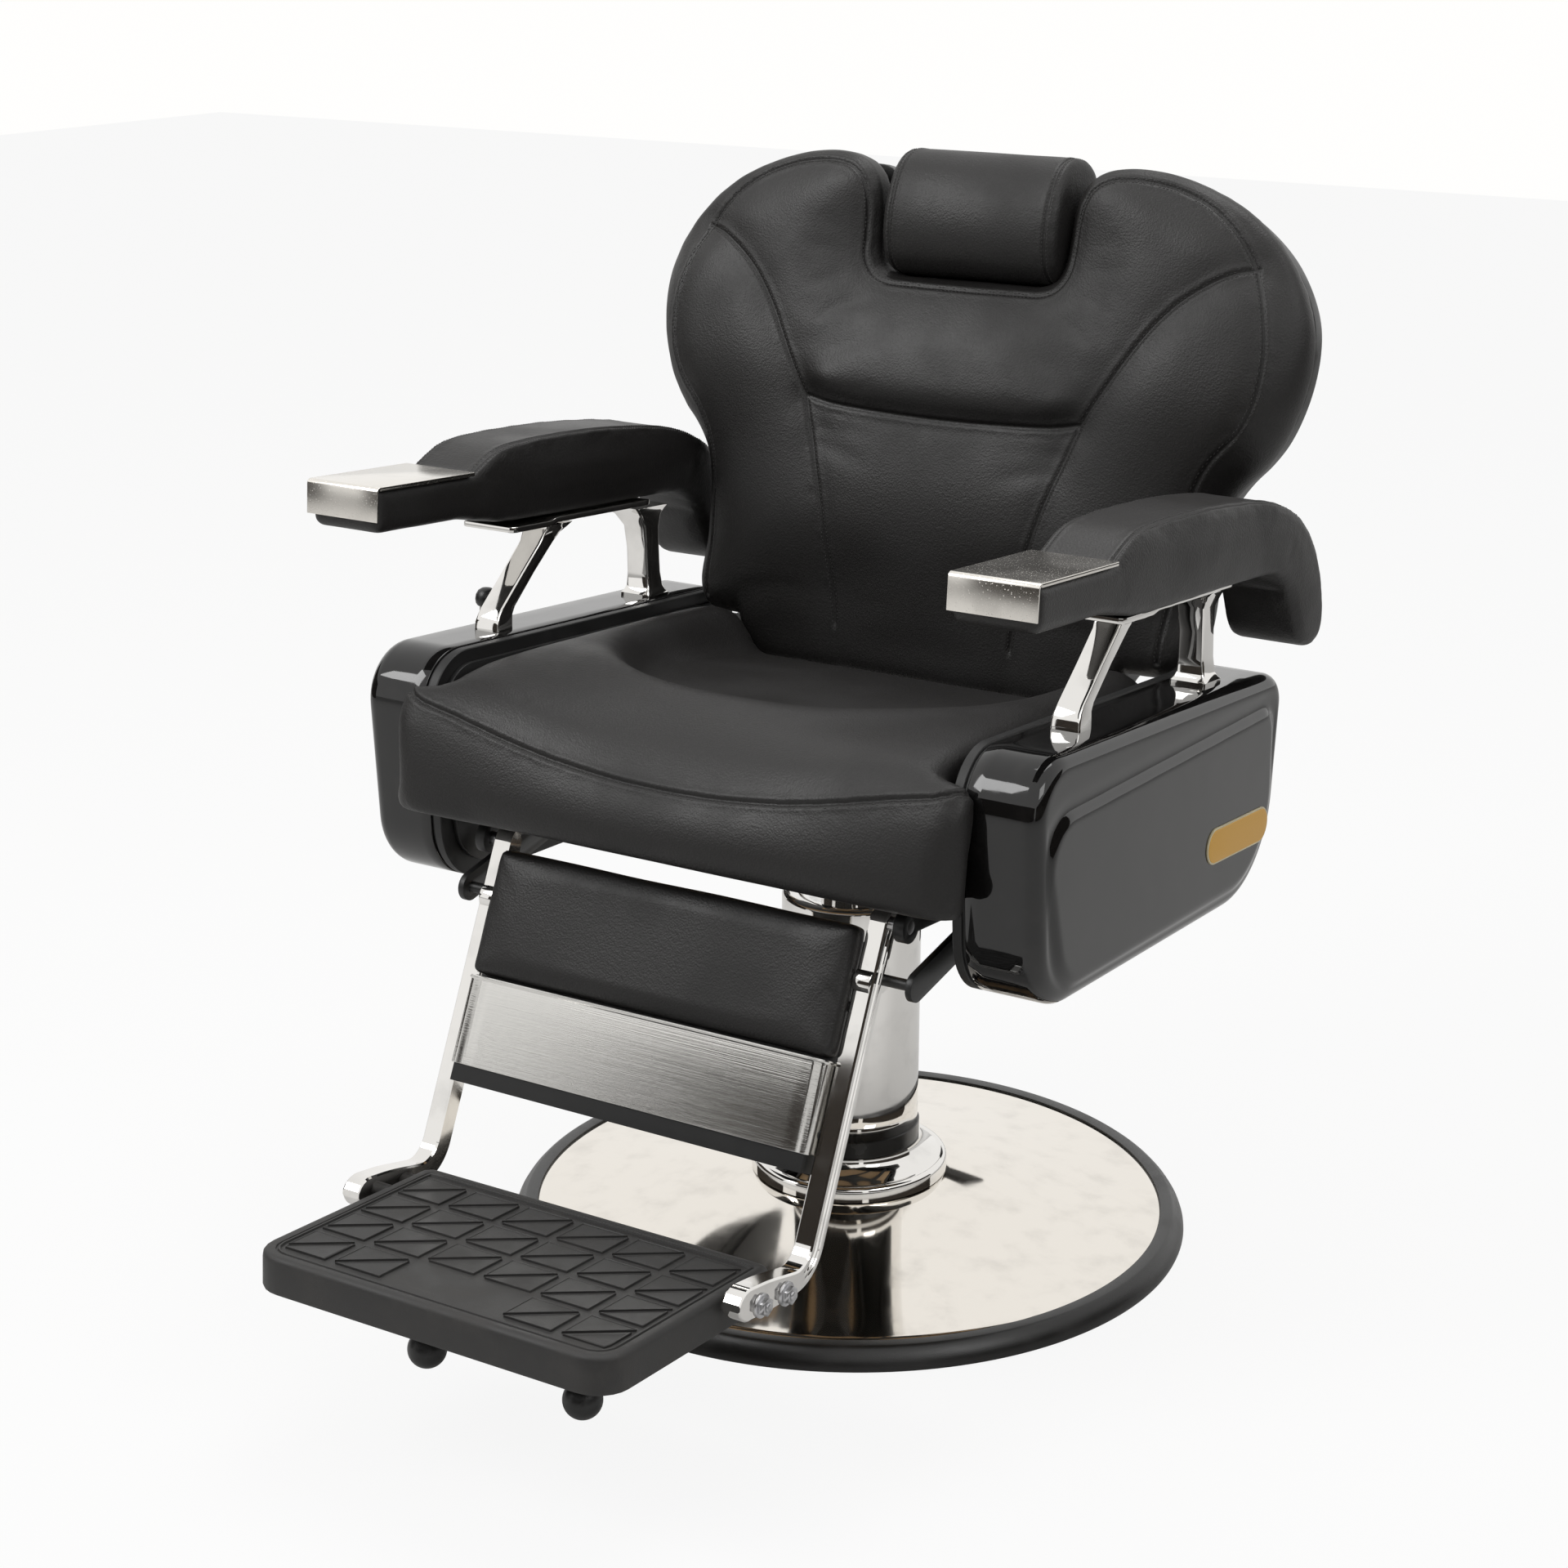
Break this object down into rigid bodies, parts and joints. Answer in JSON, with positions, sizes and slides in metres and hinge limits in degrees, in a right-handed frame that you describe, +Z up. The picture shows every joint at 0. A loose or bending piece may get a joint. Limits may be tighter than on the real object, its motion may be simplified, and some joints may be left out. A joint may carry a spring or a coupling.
{
  "type": "hydraulic barber chair",
  "caption": "Reclining barber chair on a round chromed base with a foot pump, padded back, seat, headrest and armrests, and a linked footrest.",
  "frame": {"origin": "centre of the round base on the floor", "axes": "+Z up along the pump column, the sitter faces -Y, +X is the sitter's left"},
  "size_m": [0.73, 1.0065, 1.0073],
  "materials": {
    "rubber_black": "matte moulded rubber",
    "chrome": "polished chrome plate",
    "spun_chrome": "mirror-polished spun dish",
    "steel_black": "satin black powder coat",
    "steel_raw": "zinc plated steel",
    "bronze": "bearing bronze",
    "plywood": "birch plywood",
    "leather_black": "faux leather, fine grain",
    "gloss_black": "high gloss moulding",
    "matte_black": "fine texture moulding",
    "brushed": "brushed stainless strip",
    "gold": "satin gold plate"
  },
  "bodies": {
    "base": {"base_plate": "steel_black", "base_disc": "spun_chrome", "base_ring": "rubber_black", "base_bolts": "steel_raw", "collar_ring": "chrome", "column_foot": "chrome", "column_band": "steel_black", "column_shroud": "chrome", "pump_cylinder": "steel_black", "lever_bracket": "chrome"},
    "ram": {"ram": "chrome", "thrust_washer": "bronze"},
    "pump_lever": {"pump_lever": "chrome", "pump_pedal": "rubber_black"},
    "seat": {"swivel_plate": "steel_black", "frame_rail_left": "steel_black", "frame_rail_right": "steel_black", "frame_cross_front": "steel_black", "frame_cross_rear": "steel_black", "seat_board": "plywood", "seat_cushion": "leather_black", "side_plate_left": "steel_black", "side_plate_right": "steel_black", "cover_back_left": "matte_black", "cover_back_right": "matte_black", "cover_left": "gloss_black", "cover_right": "gloss_black", "cover_badge": "gold", "armrest_bracket_left": "chrome", "armrest_bracket_right": "chrome", "arm_pad_left": "leather_black", "arm_pad_right": "leather_black", "arm_cap_left": "chrome", "arm_cap_right": "chrome", "back_pins": "steel_raw", "foot_pins": "steel_raw", "strut_cylinder": "steel_black", "lever_pivot": "steel_raw"},
    "recline_lever": {"recline_lever": "matte_black"},
    "backrest": {"back_arm_left": "steel_black", "back_arm_right": "steel_black", "back_crossbar": "steel_black", "back_board": "plywood", "back_shell": "matte_black", "back_cushion": "leather_black", "headrest_sockets": "steel_raw"},
    "headrest": {"headrest_posts": "chrome", "headrest_pad": "leather_black"},
    "footrest": {"footrest_arm_left": "chrome", "footrest_arm_right": "chrome", "calf_board": "matte_black", "calf_pad": "leather_black", "calf_strip": "brushed", "footplate": "rubber_black", "footplate_bolts": "chrome", "foot_rods": "chrome", "foot_balls": "rubber_black"},
    "link_left": {"link_left": "steel_black"},
    "link_right": {"link_right": "steel_black"},
    "strut_rod": {"strut_rod": "chrome"}
  },
  "joints": [
    {"name": "lift", "type": "slide", "parent": "base", "child": "ram", "axis": [0, 0, 1], "range_m": [0, 0.15]},
    {"name": "swivel", "type": "hinge", "parent": "ram", "child": "seat", "pos_m": [0, 0, 0.39], "axis": [0, 0, 1], "continuous": true},
    {"name": "pump", "type": "hinge", "parent": "base", "child": "pump_lever", "pos_m": [0, 0.078, 0.236], "axis": [-1, 0, 0], "range_deg": [0, 22], "stiffness_Nm_per_rad": 12, "springref_deg": -28.65},
    {"name": "recline", "type": "hinge", "parent": "seat", "child": "backrest", "pos_m": [0, 0.17367, 0.52817], "axis": [-1, 0, 0], "range_deg": [0, 35]},
    {"name": "headrest_slide", "type": "slide", "parent": "backrest", "child": "headrest", "axis": [0, 0.1478, 0.989], "range_m": [0, 0.1]},
    {"name": "footrest_swing", "type": "hinge", "parent": "seat", "child": "footrest", "pos_m": [0, -0.28018, 0.4316], "axis": [-1, 0, 0], "range_deg": [0, 35]},
    {"name": "link_left_pivot", "type": "hinge", "parent": "footrest", "child": "link_left", "pos_m": [0, -0.29051, 0.3842], "axis": [-1, 0, 0], "range_deg": [-35, 0]},
    {"name": "link_right_pivot", "type": "hinge", "parent": "footrest", "child": "link_right", "pos_m": [0, -0.29051, 0.3842], "axis": [-1, 0, 0], "range_deg": [-35, 0]},
    {"name": "strut_slide", "type": "slide", "parent": "seat", "child": "strut_rod", "axis": [0, -0.9976, 0.0698], "range_m": [0, 0.0806]},
    {"name": "recline_release", "type": "hinge", "parent": "seat", "child": "recline_lever", "pos_m": [-0.3, -0.10148, 0.52135], "axis": [-1, 0, 0], "range_deg": [0, 20], "stiffness_Nm_per_rad": 2, "springref_deg": -20.05}
  ],
  "couplings": [
    {"joint": "footrest_swing", "follows": "recline", "ratio": 1},
    {"joint": "link_left_pivot", "follows": "recline", "ratio": -1},
    {"joint": "link_right_pivot", "follows": "recline", "ratio": -1},
    {"joint": "strut_slide", "follows": "recline", "m_per_rad": 0.13193}
  ]
}
